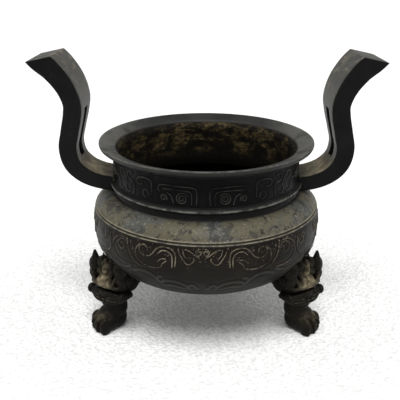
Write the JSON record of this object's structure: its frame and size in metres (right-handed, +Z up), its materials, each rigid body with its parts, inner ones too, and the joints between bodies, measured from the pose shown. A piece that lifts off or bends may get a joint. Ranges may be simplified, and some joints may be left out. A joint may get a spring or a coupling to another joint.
{
  "type": "tripod incense burner",
  "caption": "Round bronze bowl with a flared rim, relief bands and a hollow belly, on lion-mask paw legs, with tall slotted S-shaped side handles.",
  "frame": {"origin": "on the floor the feet rest on, under the middle of the whole object's bounding box; the bowl's axis stands 5.05 mm in front of it (-Y)", "axes": "+Z up; -Y the front, midway between the front legs; the handles stand on +X and -X; handle_left is on -X"},
  "size_m": [0.2328, 0.1733, 0.1882],
  "materials": {
    "bronze_body": "worn dark grey-brown patina over cast bronze",
    "bronze_handle": "near-black satin patina over cast bronze",
    "bronze_leg": "near-black patina with tan worn spots"
  },
  "bodies": {
    "root": {"bowl": "bronze_body", "handle_left": "bronze_handle", "handle_right": "bronze_handle", "leg_front_left": "bronze_leg", "leg_front_right": "bronze_leg", "leg_back": "bronze_leg"}
  },
  "joints": []
}
